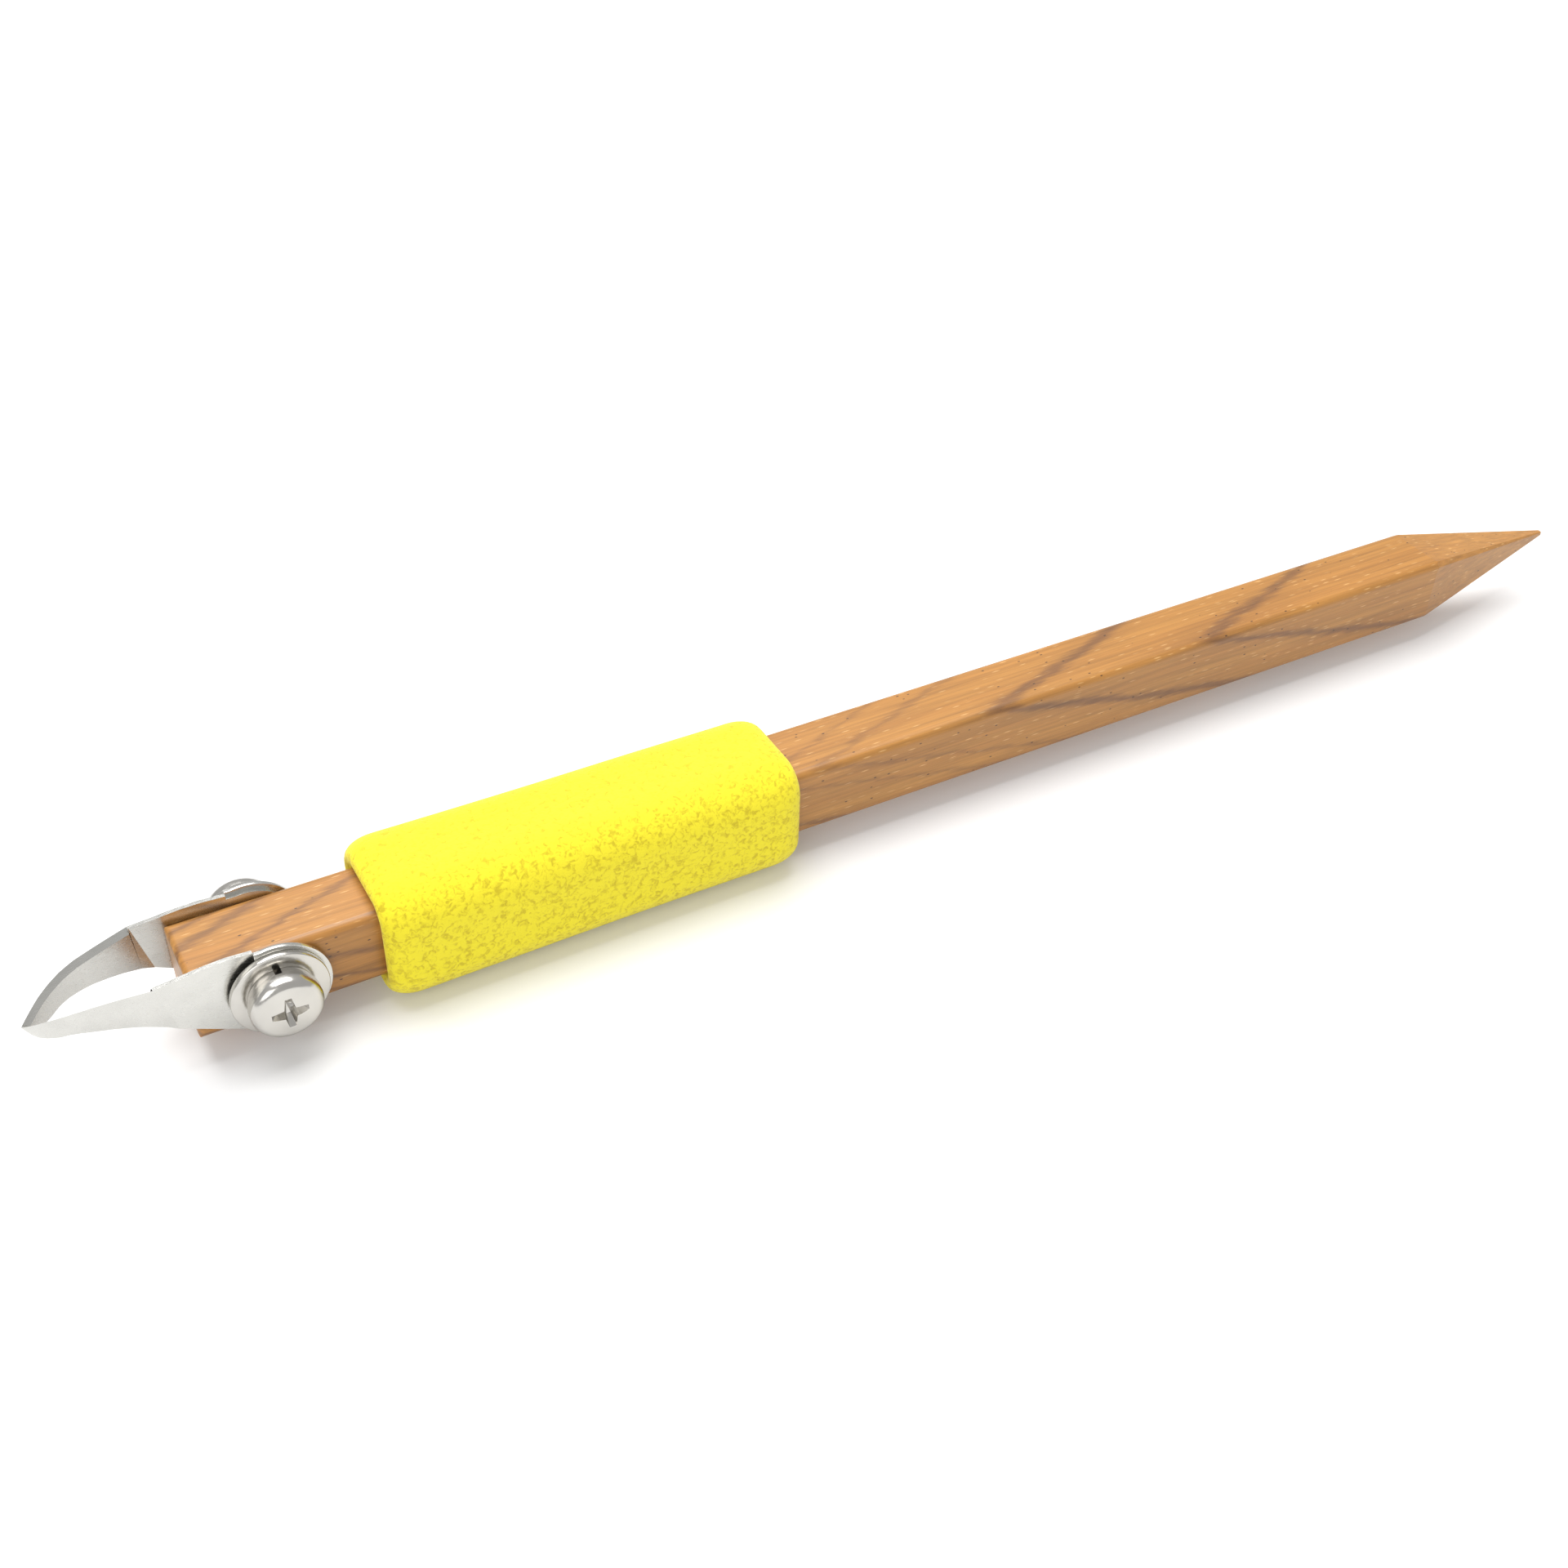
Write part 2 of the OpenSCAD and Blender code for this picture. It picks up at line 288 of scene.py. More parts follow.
    height = add(tree, "ShaderNodeMath", {0: fibres.outputs["Fac"], 1: pit.outputs[0]},
                 operation="SUBTRACT")
    bump = add(tree, "ShaderNodeBump", {"Height": height.outputs[0], "Strength": 0.25,
                                        "Distance": 0.00005})
    shader = add(tree, "ShaderNodeBsdfPrincipled",
                 {"Base Color": colour.outputs[2], "Roughness": settings.gloss, "IOR": 1.5,
                  "Normal": bump.outputs[0], "Coat Weight": 0.25, "Coat Roughness": 0.3})
    add(tree, "ShaderNodeOutputMaterial", {"Surface": shader.outputs[0]})
    return mat


def foam_material(settings):
    """Closed-cell foam rubber with a fine wrinkled moulding skin: matt, soft at the edges,
    with painted shade in the wrinkles' hollows.
    """
    mat, tree = material("moulded foam rubber")
    where = millimetres(tree)
    size = settings.grain / MM
    worm = add(tree, "ShaderNodeTexNoise", {"Vector": where, "Scale": 1.0 / size,
                                            "Detail": 3.0, "Roughness": 0.55,
                                            "Distortion": 0.9})
    cells = add(tree, "ShaderNodeTexNoise", {"Vector": where, "Scale": 3.2 / size,
                                             "Detail": 2.0})
    height = add(tree, "ShaderNodeMath", {0: cells.outputs["Fac"], 1: 0.3,
                                          2: worm.outputs["Fac"]}, operation="MULTIPLY_ADD")
    # painted shade: where the wrinkle noise dips, the foam colour is mixed toward a darker
    # copy of itself
    wrinkle_shade = add(tree, "ShaderNodeMapRange", {"Value": worm.outputs["Fac"], "From Min": 0.34,
                                              "From Max": 0.52})
    wrinkle_shade_colour = tuple(v * f for v, f in zip(settings.colour, (0.72, 0.66, 0.6)))
    colour = add(tree, "ShaderNodeMix", {"Factor": wrinkle_shade.outputs[0], 6: rgba(wrinkle_shade_colour),
                                         7: rgba(settings.colour)}, data_type="RGBA")
    bump = add(tree, "ShaderNodeBump", {"Height": height.outputs[0], "Strength": 0.55,
                                        "Distance": 0.00018})
    shader = add(tree, "ShaderNodeBsdfPrincipled",
                 {"Base Color": colour.outputs[2], "Roughness": 0.78, "IOR": 1.5,
                  "Specular IOR Level": 0.25, "Normal": bump.outputs[0],
                  "Sheen Weight": 0.15, "Sheen Roughness": 0.5})
    add(tree, "ShaderNodeOutputMaterial", {"Surface": shader.outputs[0]})
    return mat


def steel_material(name, colour, roughness, stretch, depth):
    """Stainless steel: a fine grain left by rolling or tumbling, drawn 0.1 mm wide, coarser
    than the real one so that it shows."""
    mat, tree = material(name)
    where = millimetres(tree)
    run = add(tree, "ShaderNodeMapping", {"Vector": where, "Scale": stretch})
    grain = add(tree, "ShaderNodeTexNoise", {"Vector": run.outputs[0], "Scale": 1.0,
                                             "Detail": 4.0, "Roughness": 0.65})
    cloud = add(tree, "ShaderNodeTexNoise", {"Vector": where, "Scale": 0.35, "Detail": 2.0})
    rough = add(tree, "ShaderNodeMapRange", {"Value": grain.outputs["Fac"],
                                             "From Min": 0.3, "From Max": 0.7,
                                             "To Min": roughness * 0.8,
                                             "To Max": roughness * 1.25})
    tint = add(tree, "ShaderNodeMapRange", {"Value": cloud.outputs["Fac"], "From Min": 0.3,
                                            "From Max": 0.7, "To Min": 0.93, "To Max": 1.03})
    base = add(tree, "ShaderNodeVectorMath", {0: colour, "Scale": tint.outputs[0]},
               operation="SCALE")
    bump = add(tree, "ShaderNodeBump", {"Height": grain.outputs["Fac"], "Strength": depth,
                                        "Distance": 0.00002})
    shader = add(tree, "ShaderNodeBsdfPrincipled",
                 {"Base Color": base.outputs[0], "Metallic": 1.0,
                  "Roughness": rough.outputs[0], "Normal": bump.outputs[0]})
    add(tree, "ShaderNodeOutputMaterial", {"Surface": shader.outputs[0]})
    return mat


def brass_material():
    """Free-cutting brass, turned: fine rings round its axis."""
    mat, tree = material("turned brass")
    where = millimetres(tree)
    rings = add(tree, "ShaderNodeMapping", {"Vector": where, "Scale": (0.4, 9.0, 0.4)})
    grain = add(tree, "ShaderNodeTexNoise", {"Vector": rings.outputs[0], "Scale": 1.0,
                                             "Detail": 2.0})
    bump = add(tree, "ShaderNodeBump", {"Height": grain.outputs["Fac"], "Strength": 0.4,
                                        "Distance": 0.00002})
    shader = add(tree, "ShaderNodeBsdfPrincipled",
                 {"Base Color": rgba(linear("#C9A24B")), "Metallic": 1.0, "Roughness": 0.3,
                  "Normal": bump.outputs[0]})
    add(tree, "ShaderNodeOutputMaterial", {"Surface": shader.outputs[0]})
    return mat


# ---------------------------------------------------------------- blade

def top_at(x):
    """Height of the blade's top edge over the screw axis, both in millimetres."""
    for (xa, za), (xb, zb) in zip(BLADE_TOP, BLADE_TOP[1:]):
        if xb <= x <= xa:
            return za + (zb - za) * (x - xa) / (xb - xa)
    return BLADE_TOP[0][1] if x > BLADE_TOP[0][0] else BLADE_TOP[-1][1]


def outer_half_width(u):
    """Half width of the loop's outer face at a distance along its outline, in millimetres."""
    angle, side, radius = math.radians(13.5), 5.1, 15.45
    crease_y = 4.45 + (CREASE - 1.6) * math.tan(math.radians(1.3))
    bow_x = -CREASE - side * math.cos(angle)
    bow_y = crease_y - side * math.sin(angle)
    if u >= -CREASE:
        return crease_y
    if u >= bow_x:
        return crease_y + (u + CREASE) * math.tan(angle)
    reach = u - bow_x - radius * math.sin(angle)
    return bow_y - radius * math.cos(angle) + math.sqrt(max(radius ** 2 - reach ** 2, 0))


def ground_blade(drop):
    """The blade's solid with its top edge ground from the inside, from the crease forward."""
    bm = bmesh.new()
    bm.from_mesh(NODES["blade"].data)
    bmesh.ops.remove_doubles(bm, verts=bm.verts, dist=0.002 * MM)
    along = Vector((math.cos(LEAN), 0, math.sin(LEAN)))
    down = Vector((math.sin(LEAN), 0, -math.cos(LEAN)))
    for reach in (CREASE + 0.03, CREASE + 0.12):
        bmesh.ops.bisect_plane(bm, geom=[*bm.verts, *bm.edges, *bm.faces], dist=1e-7,
                               plane_co=SCREW_AXIS - along * reach * MM, plane_no=along)
    for vert in bm.verts:
        at = (vert.co - SCREW_AXIS) / MM
        u = at.dot(along)
        if u > -CREASE - 0.08 or abs(at.z - top_at(at.x)) > 0.02:
            continue
        if abs(at.y) < outer_half_width(u) - 0.2 or (abs(at.y) < 0.02 and at.x > -21.4):
            vert.co += down * drop
    return bm


# ---------------------------------------------------------------- foam sleeve

def rounded_ring(half, radius, corner_steps=12, side_steps=10):
    """Points round a square with rounded corners, anticlockwise, as (y, z)."""
    points = []
    for turn in range(4):
        angle = turn * math.pi / 2
        flat = half - radius
        ring = [(half, -flat + 2 * flat * i / side_steps) for i in range(side_steps)]
        ring += [(flat + radius * math.cos(a), flat + radius * math.sin(a))
                 for a in (math.pi / 2 * i / corner_steps for i in range(corner_steps))]
        points += [(y * math.cos(angle) - z * math.sin(angle),
                    y * math.sin(angle) + z * math.cos(angle)) for y, z in ring]
    return points


def sleeve(settings):
    """The sleeve as one closed skin: fuller at the front, rolled over at both ends."""
    x0, x1 = GRIP_LOW.x / MM, GRIP_HIGH.x / MM
    half = (GRIP_HIGH.z - GRIP_LOW.z) / 2 / MM
    hole = 4.0 + settings.hole_gap / MM
    wall = half - hole
    roll = settings.roll / MM
    crown, lip = 0.62 * wall, 0.38 * wall       # outer rounding, then the lip into the hole
    lip_reach = 1.2
    profile = []                                # (x, how far in from the outside)
    quarter = [math.pi / 2 * i / 10 for i in range(11)]
    profile += [(x0 + roll * (1 - math.sin(a)), crown * (1 - math.cos(a))) for a in quarter]
    profile += [(x0 + lip_reach * (1 - math.cos(a)), crown + lip * math.sin(a))
                for a in quarter[1:]]
    steps = 60
    profile += [(x0 + lip_reach + (x1 - x0 - 2 * lip_reach) * i / steps, wall)
                for i in range(1, steps)]
    profile += [(x1 - lip_reach * (1 - math.cos(a)), crown + lip * math.sin(a))
                for a in reversed(quarter[1:])]
    profile += [(x1 - roll * (1 - math.sin(a)), crown * (1 - math.cos(a)))
                for a in reversed(quarter)]
    steps = 110
    profile += [(x1 - roll - (x1 - x0 - 2 * roll) * i / steps, 0.0) for i in range(1, steps)]

    bm = bmesh.new()
    rings = []
    for x, inset in profile:
        along = (x - x0) / (x1 - x0)
        share = 1 - inset / wall                # 1 on the outside, 0 in the hole
        full = half - share * (0.02 + 0.14 * along + 0.05 * math.sin(math.pi * along))
        size = full - inset
        radius = 1.0 + (4.3 - 1.0) * share
        ring = []
        for y, z in rounded_ring(size, min(radius, size * 0.95)):
            sag = 0.05 * share * noise.noise(Vector((x * 0.09, y * 0.12, z * 0.12)))
            ring.append(bm.verts.new((x * MM, (SCREW_AXIS.y / MM + y * (1 + sag / half)) * MM,
                                      (SCREW_AXIS.z / MM + z * (1 + sag / half)) * MM)))
        rings.append(ring)
    count = len(rings[0])
    for a, b in zip(rings, rings[1:] + rings[:1]):
        for i in range(count):
            bm.faces.new((a[i], a[(i + 1) % count], b[(i + 1) % count], b[i]))
    return bm


# ---------------------------------------------------------------- fasteners

def socket(group, name, kind, default):
    """A named input of a node group."""
    made = group.interface.new_socket(name=name, in_out="INPUT", socket_type=kind)
    if default is not None:
        made.default_value = default
    return made


def ring_group():
    """Geometry Nodes: a flat or split ring about +Z, its edges rounded."""
    group = bpy.data.node_groups.new("Washer ring", "GeometryNodeTree")
    for name, default in (("Inner radius", 0.002), ("Outer radius", 0.0046),
                          ("Thickness", 0.0007), ("Base", 0.0), ("Edge", 0.00008),
                          ("Gap", 0.0), ("Turn", 0.0)):
        socket(group, name, "NodeSocketFloat", default)
    socket(group, "Segments", "NodeSocketInt", 96)
    socket(group, "Material", "NodeSocketMaterial", None)
    group.interface.new_socket(name="Geometry", in_out="OUTPUT",
                               socket_type="NodeSocketGeometry")
    given = add(group, "NodeGroupInput").outputs
    mean = add(group, "ShaderNodeMath", {0: given["Inner radius"], 1: given["Outer radius"]},
               operation="ADD")
    mean = add(group, "ShaderNodeMath", {0: mean.outputs[0], 1: 0.5}, operation="MULTIPLY")
    wide = add(group, "ShaderNodeMath", {0: given["Outer radius"], 1: given["Inner radius"]},
               operation="SUBTRACT")
    whole = add(group, "GeometryNodeCurvePrimitiveCircle",
                {"Radius": mean.outputs[0], "Resolution": given["Segments"]}, mode="RADIUS")
    missing = add(group, "ShaderNodeMath", {0: given["Gap"], 1: mean.outputs[0]},
                  operation="DIVIDE")
    sweep = add(group, "ShaderNodeMath", {0: math.tau, 1: missing.outputs[0]},
                operation="SUBTRACT")
    half_gap = add(group, "ShaderNodeMath", {0: missing.outputs[0], 1: 0.5,
                                             2: given["Turn"]}, operation="MULTIPLY_ADD")
    split = add(group, "GeometryNodeCurveArc",
                {"Radius": mean.outputs[0], "Resolution": given["Segments"],
                 "Start Angle": half_gap.outputs[0], "Sweep Angle": sweep.outputs[0]},
                mode="RADIUS")
    is_split = add(group, "FunctionNodeCompare", {0: given["Gap"], 1: 0.0},
                   data_type="FLOAT", operation="GREATER_THAN")
    path = add(group, "GeometryNodeSwitch",
               {"Switch": is_split.outputs[0], "False": whole.outputs[0],
                "True": split.outputs[0]}, input_type="GEOMETRY")
    section = add(group, "GeometryNodeCurvePrimitiveQuadrilateral",
                  {"Width": wide.outputs[0], "Height": given["Thickness"]}, mode="RECTANGLE")
    section = add(group, "GeometryNodeFilletCurve",
                  {"Curve": section.outputs[0], "Radius": given["Edge"], "Count": 3},
                  mode="POLY")
    ring = add(group, "GeometryNodeCurveToMesh",
               {"Curve": path.outputs[0], "Profile Curve": section.outputs[0],
                "Fill Caps": True})
    rise = add(group, "ShaderNodeMath", {0: given["Thickness"], 1: 0.5, 2: given["Base"]},
               operation="MULTIPLY_ADD")
    lift = add(group, "ShaderNodeCombineXYZ", {"Z": rise.outputs[0]})
    placed = add(group, "GeometryNodeTransform", {"Geometry": ring.outputs[0],
                                                  "Translation": lift.outputs[0]})
    real = add(group, "GeometryNodeRealizeInstances", {0: placed.outputs[0]})
    done = add(group, "GeometryNodeSetMaterial", {"Geometry": real.outputs[0],
                                                  "Material": given["Material"]})
    add(group, "NodeGroupOutput", {0: done.outputs[0]})
    return group


def thread_group():
    """Geometry Nodes: a screw's shank from its end up, a core with a ridge wound round it."""
    group = bpy.data.node_groups.new("Screw thread", "GeometryNodeTree")
    for name, default in (("Radius", 0.00175), ("Depth", 0.0003), ("Pitch", 0.0008),
                          ("From", 0.0008), ("To", 0.0064)):
        socket(group, name, "NodeSocketFloat", default)
    socket(group, "Material", "NodeSocketMaterial", None)
    group.interface.new_socket(name="Geometry", in_out="OUTPUT",
                               socket_type="NodeSocketGeometry")
    given = add(group, "NodeGroupInput").outputs
    length = add(group, "ShaderNodeMath", {0: given["To"], 1: given["From"]},
                 operation="SUBTRACT")
    root = add(group, "ShaderNodeMath", {0: given["Radius"], 1: given["Depth"]},
               operation="SUBTRACT")
    core = add(group, "GeometryNodeMeshCylinder",
               {"Vertices": 48, "Radius": root.outputs[0], "Depth": length.outputs[0]})
    half = add(group, "ShaderNodeMath", {0: length.outputs[0], 1: 0.5, 2: given["From"]},
               operation="MULTIPLY_ADD")
    core_lift = add(group, "ShaderNodeCombineXYZ", {"Z": half.outputs[0]})
    core = add(group, "GeometryNodeTransform", {"Geometry": core.outputs["Mesh"],
                                                "Translation": core_lift.outputs[0]})
    run = add(group, "ShaderNodeMath", {0: length.outputs[0], 1: given["Pitch"]},
              operation="SUBTRACT")
    turns = add(group, "ShaderNodeMath", {0: run.outputs[0], 1: given["Pitch"]},
                operation="DIVIDE")
    helix = add(group, "GeometryNodeCurveSpiral",
                {"Resolution": 40, "Rotations": turns.outputs[0],
                 "Start Radius": root.outputs[0], "End Radius": root.outputs[0],
                 "Height": run.outputs[0]})
    foot = add(group, "ShaderNodeMath", {0: given["Pitch"], 1: 0.5, 2: given["From"]},
               operation="MULTIPLY_ADD")
    ridge_lift = add(group, "ShaderNodeCombineXYZ", {"Z": foot.outputs[0]})
    ridge = add(group, "GeometryNodeCurvePrimitiveCircle",
                {"Radius": given["Depth"], "Resolution": 4}, mode="RADIUS")
    ridge = add(group, "GeometryNodeCurveToMesh",
                {"Curve": helix.outputs[0], "Profile Curve": ridge.outputs[0],
                 "Fill Caps": True})
    ridge = add(group, "GeometryNodeTransform", {"Geometry": ridge.outputs[0],
                                                 "Translation": ridge_lift.outputs[0]})
    both = add(group, "GeometryNodeJoinGeometry")
    group.links.new(core.outputs[0], both.inputs[0])
    group.links.new(ridge.outputs[0], both.inputs[0])
    real = add(group, "GeometryNodeRealizeInstances", {0: both.outputs[0]})
    done = add(group, "GeometryNodeSetMaterial", {"Geometry": real.outputs[0],
                                                  "Material": given["Material"]})
    add(group, "NodeGroupOutput", {0: done.outputs[0]})
    return group


def from_group(group, values):
    """A mesh made by a node group with these inputs."""
    holder = bpy.data.objects.new("holder", bpy.data.meshes.new("holder"))
    bpy.context.scene.collection.objects.link(holder)
    run = holder.modifiers.new("nodes", "NODES")
    run.node_group = group
    for item in group.interface.items_tree:
        if item.item_type == "SOCKET" and item.in_out == "INPUT" and item.name in values:
            run[item.identifier] = values[item.name]
    holder.update_tag()
    mesh = evaluated_mesh(holder)
    bpy.data.objects.remove(holder)
    return mesh


def across(node, side):
    """How far a node reaches out from the middle on its own side: nearest and farthest."""
    low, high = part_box(node)
    near, far = sorted((low[1] * side, high[1] * side))
    return near, far


def place_on_side(bm, side):
    """Turns a piece drawn about +Z to point outwards on its side of the tool."""
    for vert in bm.verts:
        x, y, z = vert.co
        vert.co = Vector((SCREW_AXIS.x + x, side * z, SCREW_AXIS.z - side * y))


def screw_head(radius, base, height, segments):
    """Pan head with a rounded rim and a slightly domed top, about +Z."""
    rim = 0.00095
    dome = 0.00022
    profile = [(0.0, base), (radius - 0.0001, base), (radius, base + 0.0001)]
    low = base + height - dome - rim
    profile += [(radius - rim + rim * math.cos(a), low + rim * math.sin(a))
                for a in (math.radians(8 * i) for i in range(0, 11))]
    edge, top = profile[-1]
    steps = 8
    profile += [(edge * (1 - i / steps),
                 top + (base + height - top) * math.sin(math.pi / 2 * i / steps))
                for i in range(1, steps + 1)]
    bm = bmesh.new()
    previous = None
    for r, z in profile:
        if r < 1e-7:
            ring = [bm.verts.new((0, 0, z))]
        else:
            ring = [bm.verts.new((r * math.cos(math.tau * i / segments),
                                  r * math.sin(math.tau * i / segments), z))
                    for i in range(segments)]
        if previous:
            for i in range(segments):
                j = (i + 1) % segments
                if len(previous) == 1:
                    bm.faces.new((previous[0], ring[j], ring[i]))
                elif len(ring) == 1:
                    bm.faces.new((previous[i], previous[j], ring[0]))
                else:
                    bm.faces.new((previous[i], previous[j], ring[j], ring[i]))
        previous = ring
    return bm


def cross_cutter(top):
    """A cross recess: four wings that narrow and slope in towards the bottom, about +Z."""
    def outline(reach, width, z):
        h = width / 2
        points = []
        for turn in range(4):
            a = turn * math.pi / 2
            for x, y in ((reach, -h * 0.8), (reach, h * 0.8), (h * 1.35, h * 1.35)):
                points.append((x * math.cos(a) - y * math.sin(a),
                               x * math.sin(a) + y * math.cos(a), z))
        return points
    bm = bmesh.new()
    layers = [outline(1.86 * MM, 0.84 * MM, top + 0.3 * MM),
              outline(1.72 * MM, 0.78 * MM, top - 0.1 * MM),
              outline(0.95 * MM, 0.50 * MM, top - 1.25 * MM)]
    rings = [[bm.verts.new(p) for p in layer] for layer in layers]
    for a, b in zip(rings, rings[1:]):
        for i in range(len(a)):
            j = (i + 1) % len(a)
            bm.faces.new((a[i], a[j], b[j], b[i]))
    bm.faces.new(rings[0])
    point = bm.verts.new((0, 0, top - 1.55 * MM))
    last = rings[-1]
    for i in range(len(last)):
        bm.faces.new((last[i], last[(i + 1) % len(last)], point))
    bmesh.ops.recalc_face_normals(bm, faces=bm.faces)
    return bm


def recessed_head(node, side, segments):
    """The head's mesh with the recess cut in and its edges eased."""
    radius = (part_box(node)[1][2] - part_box(node)[0][2]) / 2
    outer = across(node, side)[1]
    height = outer - across(f"lock_washer_{'left' if side < 0 else 'right'}", side)[1]
    blanks = []
    for name, bm in (("head", screw_head(radius, outer - height, height, segments)),
                     ("cutter", cross_cutter(outer))):
        mesh = bpy.data.meshes.new(name)
        bmesh.ops.recalc_face_normals(bm, faces=bm.faces)
        bm.to_mesh(mesh)
        bm.free()
        obj = bpy.data.objects.new(name, mesh)
        bpy.context.scene.collection.objects.link(obj)
        blanks.append(obj)
    head, cutter = blanks
    cut = head.modifiers.new("recess", "BOOLEAN")
    cut.object, cut.operation, cut.solver = cutter, "DIFFERENCE", "EXACT"
    ease = head.modifiers.new("ease", "BEVEL")
    ease.width, ease.segments, ease.limit_method = 0.00005, 2, "ANGLE"
    ease.angle_limit = math.radians(40)
    mesh = evaluated_mesh(head)
    for obj in blanks:
        bpy.data.objects.remove(obj)
    return mesh


# ---------------------------------------------------------------- operators

class CLAYTOOL_OT_handle(bpy.types.Operator):
    """Finish the wooden bar and the brass barrel in it"""
    bl_idname = "claytool.handle"
    bl_label = "Wooden handle"

    def execute(self, context):
        dress(NODES["handle"], wood_material(context.scene.claytool_wood))
        dress(NODES["cross_barrel"], brass_material())
        return {"FINISHED"}


class CLAYTOOL_OT_grip(bpy.types.Operator):
    """Make the foam sleeve with rolled ends in place of its plain solid"""
    bl_idname = "claytool.grip"
    bl_label = "Foam sleeve"

    def execute(self, context):
        settings = context.scene.claytool_foam
        piece = to_object("foam_sleeve", sleeve(settings), foam_material(settings), sharp=60)
        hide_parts("foam_grip")
        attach(piece, "grip")
        return {"FINISHED"}


class CLAYTOOL_OT_blade(bpy.types.Operator):
    """Make the loop blade with its ground edge, and finish the plates over its ends"""
    bl_idname = "claytool.blade"
    bl_label = "Loop blade"

    def execute(self, context):
        settings = context.scene.claytool_steel
        strip = steel_material("rolled stainless strip", settings.strip, 0.24,
                               (1.2, 7.0, 7.0), 0.12)
        piece = to_object("loop_blade", ground_blade(settings.bevel_drop), strip, sharp=9)
        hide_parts("blade")
        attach(piece, "blade")
        for name in SIDES:
            plate = NODES[f"plate_{name}"]
            dress(plate, strip)
            weld = plate.modifiers.new("weld", "WELD")
            weld.merge_threshold = 1e-6
            ease = plate.modifiers.new("ease", "BEVEL")
            ease.width, ease.segments, ease.limit_method = 0.00006, 2, "ANGLE"
        return {"FINISHED"}


class CLAYTOOL_OT_fasteners(bpy.types.Operator):
    """Make the screws and washers on both sides"""
    bl_idname = "claytool.fasteners"
    bl_label = "Screws and washers"

    def execute(self, context):
        settings = context.scene.claytool_steel
        steel = steel_material("tumbled stainless steel", settings.screws, 0.2,
                               (3.0, 3.0, 3.0), 0.35)
        rings, thread = ring_group(), thread_group()
        for name, side in SIDES.items():
            for kind, edge, gap in (("flat_washer", 0.00012, 0.0),
                                    ("lock_washer", 0.0001, 0.0005)):
                node = f"{kind}_{name}"
                near, far = across(node, side)
                low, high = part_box(node)
                mesh = from_group(rings, {
                    "Inner radius": 0.00195, "Outer radius": (high[2] - low[2]) / 2,
                    "Thickness": far - near, "Base": near, "Edge": edge, "Gap": gap,
                    "Turn": -side * math.pi / 2, "Segments": settings.segments,
                    "Material": steel})
                bm = bmesh.new()
                bm.from_mesh(mesh)
                place_on_side(bm, side)
                piece = to_object(f"{node}_piece", bm, steel)
                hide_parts(node)
                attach(piece, f"washers_{name}")
            node = f"screw_{name}"
            near, far = across(node, side)
            bm = bmesh.new()
            bm.from_mesh(recessed_head(node, side, settings.segments))
            bm.from_mesh(from_group(thread, {
                "Radius": 0.00175, "Depth": 0.0003, "Pitch": settings.pitch, "From": near,
                "To": across(f"lock_washer_{name}", side)[1] + 0.0001,
                "Material": steel}))
            place_on_side(bm, side)
            piece = to_object(f"{node}_piece", bm, steel)
            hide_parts(node)
            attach(piece, node)
        return {"FINISHED"}


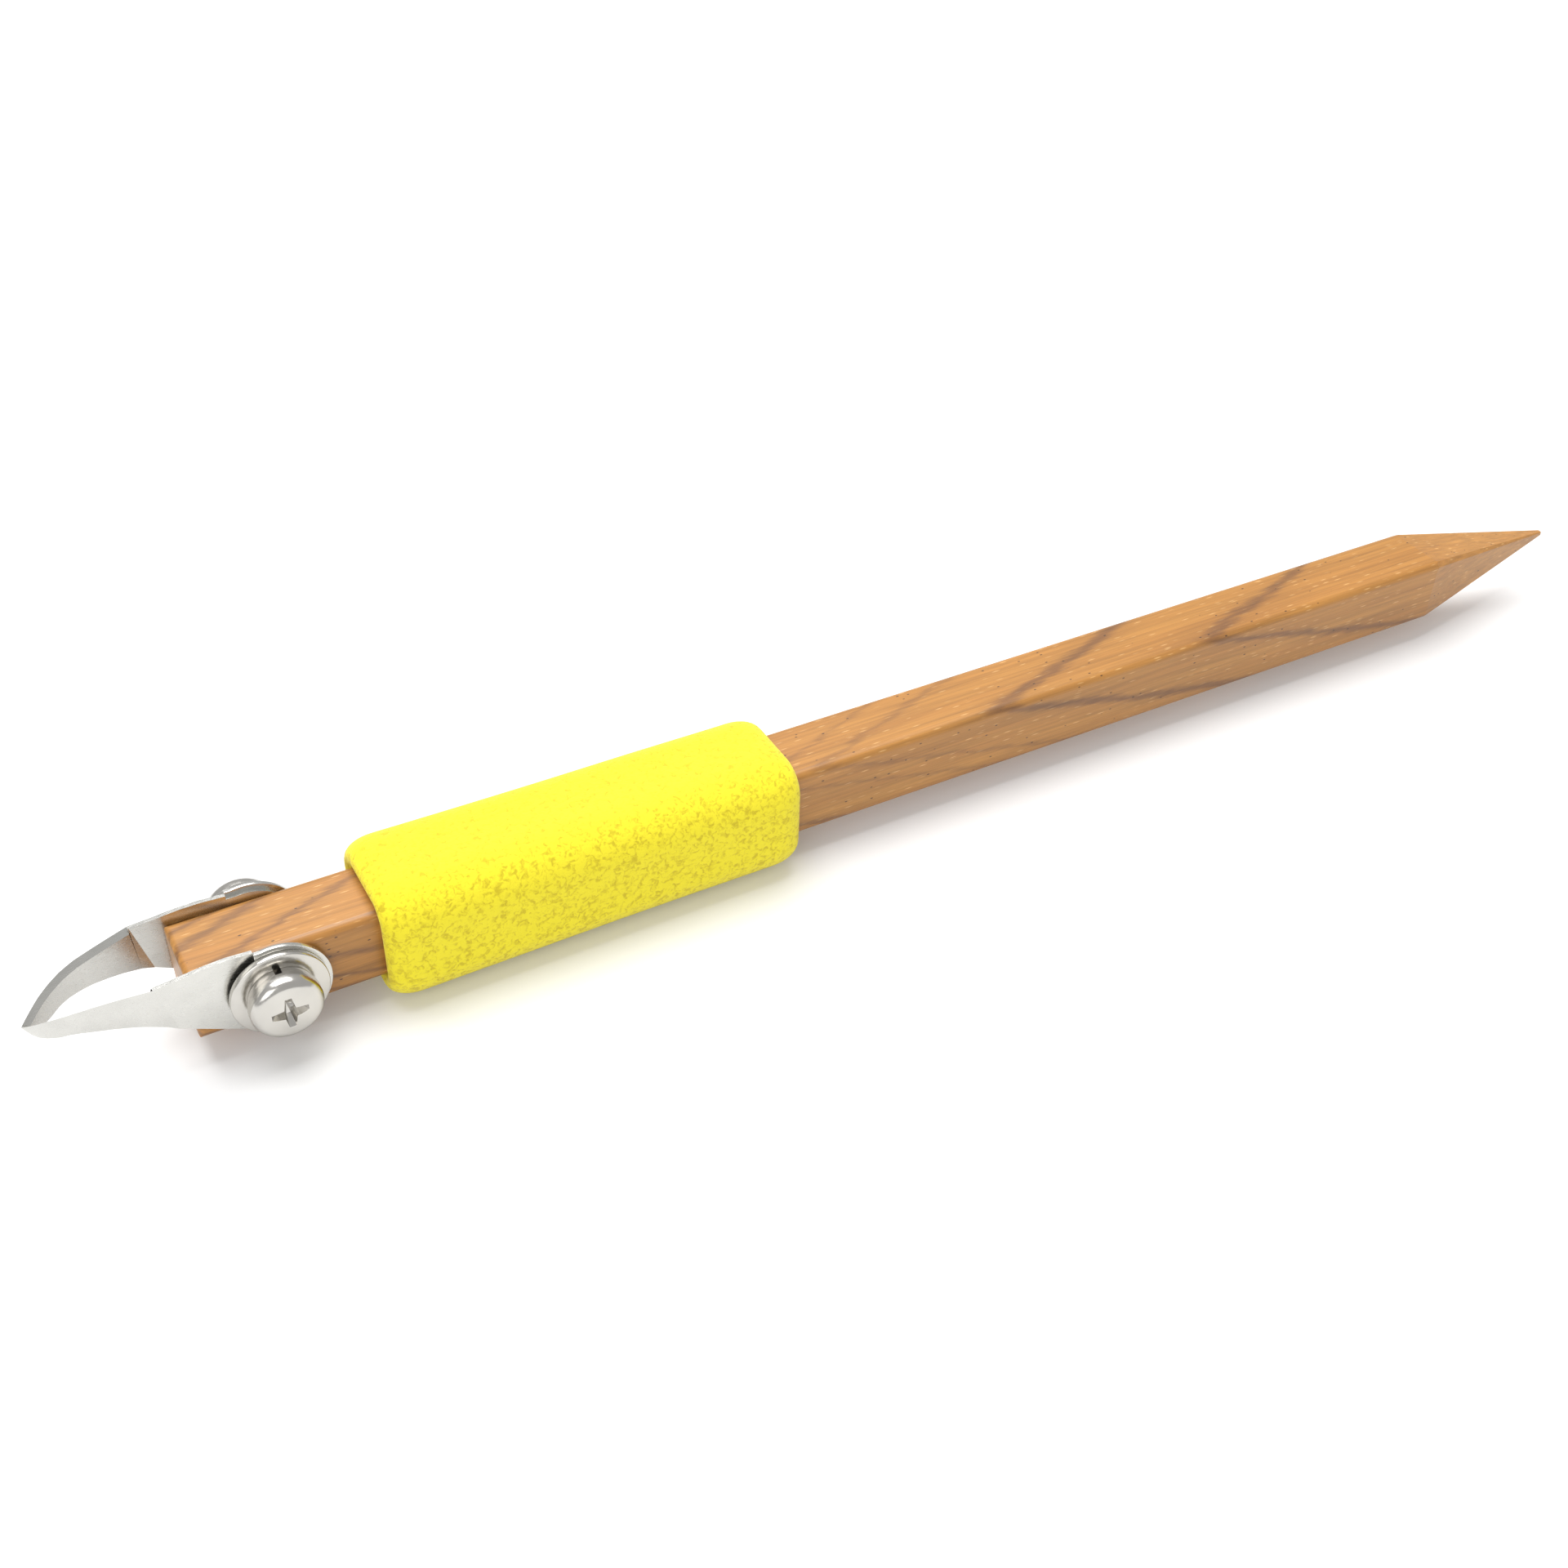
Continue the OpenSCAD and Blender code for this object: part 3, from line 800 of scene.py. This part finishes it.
class CLAYTOOL_OT_stage(bpy.types.Operator):
    """Set the floor, the lights and the camera"""
    bl_idname = "claytool.stage"
    bl_label = "Stage"

    def execute(self, context):
        settings = context.scene.claytool_stage
        scene = context.scene

        mat, tree = material("matt white sweep")
        path = add(tree, "ShaderNodeLightPath")
        diffuse = add(tree, "ShaderNodeBsdfDiffuse", {"Color": rgba(settings.floor)})
        glow = add(tree, "ShaderNodeEmission", {"Color": (1, 1, 1, 1),
                                                "Strength": path.outputs["Is Camera Ray"]})
        mixed = add(tree, "ShaderNodeMixShader", {0: 0.12, 1: diffuse.outputs[0],
                                                  2: glow.outputs[0]})
        add(tree, "ShaderNodeOutputMaterial", {"Surface": mixed.outputs[0]})
        bm = bmesh.new()
        bmesh.ops.create_grid(bm, x_segments=1, y_segments=1, size=3.0)
        for vert in bm.verts:
            vert.co.z = -0.00005
        mesh = bpy.data.meshes.new("floor")
        bm.to_mesh(mesh)
        bm.free()
        floor = bpy.data.objects.new("floor", mesh)
        scene.collection.objects.link(floor)
        dress(floor, mat)

        world = bpy.data.worlds.new("studio")
        scene.world = world
        world.use_nodes = True
        tree = world.node_tree
        tree.nodes.clear()
        path = add(tree, "ShaderNodeLightPath")
        room = add(tree, "ShaderNodeBackground", {"Color": (1, 1, 1, 1), "Strength": 0.55})
        white = add(tree, "ShaderNodeBackground", {"Color": (1, 1, 1, 1), "Strength": 1.0})
        both = add(tree, "ShaderNodeMixShader", {0: path.outputs["Is Camera Ray"],
                                                 1: room.outputs[0], 2: white.outputs[0]})
        add(tree, "ShaderNodeOutputWorld", {"Surface": both.outputs[0]})

        for name, where, size, power in (
                ("overhead softbox", (-0.02, 0.18, 0.62), 0.55, settings.key),
                ("side fill", (-0.45, -0.35, 0.35), 0.4, settings.key * 0.18)):
            data = bpy.data.lights.new(name, "AREA")
            data.shape, data.size, data.energy = "SQUARE", size, power
            lamp = bpy.data.objects.new(name, data)
            lamp.location = where
            lamp.rotation_euler = (-Vector(where)).to_track_quat("-Z", "Y").to_euler()
            scene.collection.objects.link(lamp)

        data = bpy.data.cameras.new("camera")
        data.lens, data.sensor_width, data.clip_start = settings.lens, 36.0, 0.002
        camera = bpy.data.objects.new("camera", data)
        camera.location = (-0.092987, -0.130483, 0.129085)
        camera.rotation_euler = [math.radians(v) for v in (50.99555, -1.41938, -29.14052)]
        scene.collection.objects.link(camera)
        scene.camera = camera
        scene.view_settings.view_transform = "Standard"
        return {"FINISHED"}


class CLAYTOOL_PT_panel(bpy.types.Panel):
    """Lists the settings and the steps"""
    bl_idname = "CLAYTOOL_PT_panel"
    bl_label = "Clay Tool"
    bl_space_type = "VIEW_3D"
    bl_region_type = "UI"
    bl_category = "Clay Tool"

    def draw(self, context):
        for group, step in STEPS.items():
            box = self.layout.box()
            box.operator(step)
            held = getattr(context.scene, group, None)
            for name in held.__annotations__ if held else ():
                box.prop(held, name)


STEPS = {"claytool_wood": "claytool.handle", "claytool_foam": "claytool.grip",
         "claytool_steel": "claytool.blade", "claytool_screws": "claytool.fasteners",
         "claytool_stage": "claytool.stage"}
GROUPS = {"claytool_wood": WoodSettings, "claytool_foam": FoamSettings,
          "claytool_steel": SteelSettings, "claytool_stage": StageSettings}
CLASSES = (*GROUPS.values(), CLAYTOOL_OT_handle, CLAYTOOL_OT_grip, CLAYTOOL_OT_blade,
           CLAYTOOL_OT_fasteners, CLAYTOOL_OT_stage, CLAYTOOL_PT_panel)


def register():
    for cls in CLASSES:
        bpy.utils.register_class(cls)
    for name, cls in GROUPS.items():
        setattr(bpy.types.Scene, name, PointerProperty(type=cls))


def unregister():
    for name in GROUPS:
        delattr(bpy.types.Scene, name)
    for cls in reversed(CLASSES):
        bpy.utils.unregister_class(cls)


def main():
    register()
    bpy.ops.claytool.handle()
    bpy.ops.claytool.grip()
    bpy.ops.claytool.blade()
    bpy.ops.claytool.fasteners()
    bpy.ops.claytool.stage()


if __name__ == "__main__":
    main()
